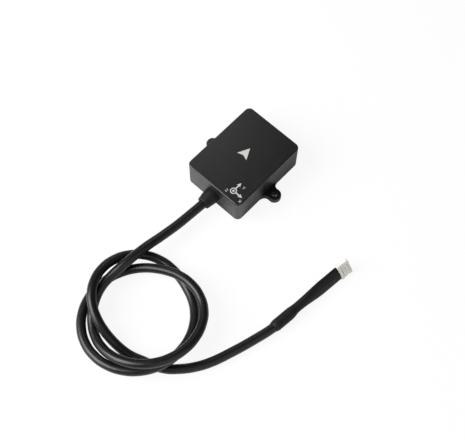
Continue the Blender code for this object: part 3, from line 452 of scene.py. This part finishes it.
sleeve_shape = bmesh.new()
upright = Matrix.Rotation(math.radians(90), 4, "X")
ring = bmesh.ops.create_circle(sleeve_shape, segments=SLEEVE_SIDES, radius=0.5, matrix=upright)["verts"]
bmesh.ops.scale(sleeve_shape, vec=(sleeve_size(0.0)[0], 1, sleeve_size(0.0)[1]), verts=ring)
edges = sleeve_shape.edges[:]
for step in range(1, SLEEVE_STEPS + 1):
    old_size = sleeve_size(SLEEVE_LENGTH * (step - 1) / SLEEVE_STEPS)
    new_size = sleeve_size(SLEEVE_LENGTH * step / SLEEVE_STEPS)
    grown = bmesh.ops.extrude_edge_only(sleeve_shape, edges=edges)["geom"]
    ring = [item for item in grown if isinstance(item, bmesh.types.BMVert)]
    edges = [item for item in grown if isinstance(item, bmesh.types.BMEdge)]
    bmesh.ops.translate(sleeve_shape, verts=ring, vec=(0, SLEEVE_LENGTH / SLEEVE_STEPS, 0))
    bmesh.ops.scale(
        sleeve_shape, vec=(new_size[0] / old_size[0], 1, new_size[1] / old_size[1]), verts=ring,
    )
for vert in sleeve_shape.verts:
    width, height, shift = sleeve_size(vert.co.y)
    flatness = max(0.0, 1 - height / width)
    edge_fade = max(0.0, 1 - (2 * vert.co.x / width) ** 2)
    wave = math.cos(2 * math.pi * (vert.co.x / WIRE_PITCH - 0.5))
    vert.co.z += math.copysign(RIDGE_HEIGHT * flatness * edge_fade * wave, vert.co.z)
    vert.co.x -= shift
bmesh.ops.transform(sleeve_shape, matrix=plug_end, verts=sleeve_shape.verts)
# Matt black, the dullest piece on the cable
shrink_tube = surface(
    "black_shrink_polyolefin", ("#070707", "#0b0b0b"), drift=0.004, gloss=(0.5, 0.62),
    grain=0.0003, depth=0.000012, ior=1.38,
)
sleeve = new_piece(
    "shrunk_sleeve", sleeve_shape, shrink_tube, ["heat_shrink_sleeve"], sharp_deg=60,
)
sleeve_wall = sleeve.modifiers.new("tube_wall", "SOLIDIFY")
sleeve_wall.thickness = SLEEVE_WALL
sleeve_wall.offset = -1.0

# Cable
# A round four-core signal cable with an extruded black PVC jacket, soft enough to fall into a loose
# coil of two and a half turns. It leaves the boot, passes over the coil and ends in the sleeve.
CURVE_STEPS = 8
# Places along Y of its straight start, in the case and the boot
JACKET_START = (-0.015, -0.021, -0.0255, -0.030)
LEAD_ROUTE = (
    (-0.0004, -0.0368, 0.0068),
    (-0.0011, -0.0468, 0.0070),
    (-0.0021, -0.0565, 0.0079),
    (-0.0032, -0.0682, 0.0101),
    (-0.0039, -0.0782, 0.0104),
)
TAIL_ROUTE = (
    (0.0439, -0.1023, 0.0024),
    (0.0495, -0.0974, 0.0024),
    (0.0544, -0.0913, 0.0024),
    (0.0579, -0.0850, 0.0024),
    (0.0617, -0.0749, 0.0025),
    (0.0651, -0.0641, 0.0027),
)
# Distances from the sleeve's start
JACKET_IN_SLEEVE = (0.0, 0.0050, 0.0100)
COIL_CENTRE = (0.0178, -0.0900)
COIL_START_DEG = 178
COIL_STEP_DEG = 15
COIL_STEPS = 57
COIL_FLOOR_GAP = 0.0001
# Angle in degrees and distance from the centre
COIL_REACH = (
    (168, 0.0229), (390, 0.0293), (483, 0.0222), (626, 0.0306),
    (790, 0.0242), (864, 0.0297), (990, 0.0197), (1095, 0.0286),
)
# Middle and half length in degrees, and rise over the strands below
COIL_HUMPS = (
    (168, 92, 0.0057), (324, 106, 0.0106), (431, 119, 0.0056), (686, 125, 0.0053), (926, 101, 0.0094),
)


def coil_point(angle):
    """Point of the coil's middle line at an angle in degrees, counted on through the turns."""
    for (start, low), (end, high) in zip(COIL_REACH, COIL_REACH[1:]):
        if angle <= end:
            reach = low + (high - low) * (1 - math.cos(math.pi * (angle - start) / (end - start))) / 2
            break
    height = CABLE_DIAMETER / 2 + COIL_FLOOR_GAP
    for middle, half_length, rise in COIL_HUMPS:
        share = (angle - middle) / half_length
        if abs(share) < 1:
            height += rise * (1 + math.cos(math.pi * share)) / 2
    turn = math.radians(angle)
    return COIL_CENTRE[0] + reach * math.cos(turn), COIL_CENTRE[1] + reach * math.sin(turn), height


route = [(0.0, y, CABLE_HEIGHT) for y in JACKET_START]
route += LEAD_ROUTE
route += [coil_point(COIL_START_DEG + COIL_STEP_DEG * step) for step in range(COIL_STEPS + 1)]
route += TAIL_ROUTE
route += [plug_end @ Vector((0, y, 0)) for y in JACKET_IN_SLEEVE]
cable_curve = bpy.data.curves.new("signal_cable", "CURVE")
cable_curve.dimensions = "3D"
cable_curve.bevel_depth = CABLE_DIAMETER / 2
cable_curve.bevel_resolution = CURVE_STEPS
cable_curve.resolution_u = CURVE_STEPS
cable_curve.use_fill_caps = True
spline = cable_curve.splines.new("BEZIER")
spline.bezier_points.add(len(route) - 1)
for point, place in zip(spline.bezier_points, route):
    point.co = place
    point.handle_left_type = "AUTO"
    point.handle_right_type = "AUTO"
# Black with long clear highlights, and slow waves left by the extruder
jacket_pvc = surface(
    "extruded_black_pvc", ("#111112", "#161617"), drift=0.006, gloss=(0.28, 0.37),
    grain=0.0008, depth=0.000004, ior=1.42,
)
cable_curve.materials.append(jacket_pvc)
cable = bpy.data.objects.new("signal_cable", cable_curve)
scene.collection.objects.link(cable)
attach(cable, "root")
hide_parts("cable_lead", "cable_coil", "cable_tail")
on_cable = [boot, sleeve, nodes["connector_housing"]]
on_cable += [nodes[name] for name in numbered("plug_wire") + numbered("connector_terminal")]

# Floor
# A plain white sweep of paper that keeps the object's soft shadow, most of all where the glossy case
# mirrors it. A bare strip of the same paper under the case and its ears shows through the screw holes.
FLOOR_SIZE = 4.0
FLOOR_GAP = 0.0002
STRIP_GAP = 0.0001
STRIP_HALF = (0.0233, 0.0018)
PAPER_SHADE = "#f4f4f4"
PAPER_ROUGHNESS = 0.9
WHITE = (1, 1, 1, 1)
# How much of its white the floor shows to the camera, and to what mirrors it
CAMERA_SHARE = 0.9
MIRROR_SHARE = 0.1


def add_floor(name, half_size, height, material):
    """Flat rectangle of the stage."""
    shape = bmesh.new()
    place = Matrix.Translation((0, 0, height)) @ Matrix.Diagonal((*half_size, 1.0, 1.0))
    bmesh.ops.create_grid(shape, x_segments=1, y_segments=1, size=1.0, matrix=place)
    mesh = bpy.data.meshes.new(name)
    shape.to_mesh(mesh)
    shape.free()
    mesh.materials.append(material)
    flat = bpy.data.objects.new(name, mesh)
    scene.collection.objects.link(flat)


paper = bpy.data.materials.new("white_paper")
paper.use_nodes = True
paper_tree = paper.node_tree
paper_tree.nodes.clear()
rays = add_node(paper_tree, "ShaderNodeLightPath")
mirrored = add_node(
    paper_tree, "ShaderNodeMath",
    {0: rays.outputs["Is Glossy Ray"], 1: rays.outputs["Is Transmission Ray"]}, operation="MAXIMUM",
)
mirrored_part = add_node(
    paper_tree, "ShaderNodeMath", {0: mirrored.outputs[0], 1: MIRROR_SHARE}, operation="MULTIPLY",
)
seen = add_node(
    paper_tree, "ShaderNodeMath",
    {0: rays.outputs["Is Camera Ray"], 1: CAMERA_SHARE, 2: mirrored_part.outputs[0]},
    operation="MULTIPLY_ADD",
)
matt = add_node(paper_tree, "ShaderNodeBsdfDiffuse", {"Color": hex_colour(PAPER_SHADE)})
bright = add_node(paper_tree, "ShaderNodeEmission", {"Color": WHITE, "Strength": 1.0})
mixed = add_node(
    paper_tree, "ShaderNodeMixShader", {0: seen.outputs[0], 1: matt.outputs[0], 2: bright.outputs[0]},
)
add_node(paper_tree, "ShaderNodeOutputMaterial", {"Surface": mixed.outputs[0]})
add_floor("white_floor", (FLOOR_SIZE / 2, FLOOR_SIZE / 2), -FLOOR_GAP, paper)
bare_paper = bpy.data.materials.new("bare_paper")
bare_paper.use_nodes = True
bare_shader = bare_paper.node_tree.nodes["Principled BSDF"]
bare_shader.inputs["Base Color"].default_value = hex_colour(PAPER_SHADE)
bare_shader.inputs["Roughness"].default_value = PAPER_ROUGHNESS
add_floor("floor_strip", STRIP_HALF, -STRIP_GAP, bare_paper)

# Light
# Soft boxes: a broad key from the cable side on the left, a weak fill on the right, and a small one
# close to the case that the lid mirrors.
AIM = Vector((0.02, -0.05, 0.0))
SKY = 0.09
# Place, width and watts
SOFT_BOXES = {
    "key_box": ((-0.40, -0.62, 0.60), 0.75, 15.8),
    "fill_box": ((0.75, -0.25, 0.50), 1.0, 2.3),
    "lid_box": ((-0.130, 0.075, 0.185), 0.08, 0.052),
}
for light_name, (place, size, watts) in SOFT_BOXES.items():
    lamp = bpy.data.lights.new(light_name, "AREA")
    lamp.size = size
    lamp.energy = watts
    lamp_object = bpy.data.objects.new(light_name, lamp)
    lamp_object.location = place
    lamp_object.rotation_euler = (AIM - Vector(place)).to_track_quat("-Z", "Y").to_euler()
    scene.collection.objects.link(lamp_object)
world = bpy.data.worlds.new("studio")
world.use_nodes = True
background = world.node_tree.nodes["Background"]
background.inputs["Color"].default_value = WHITE
background.inputs["Strength"].default_value = SKY
scene.world = world
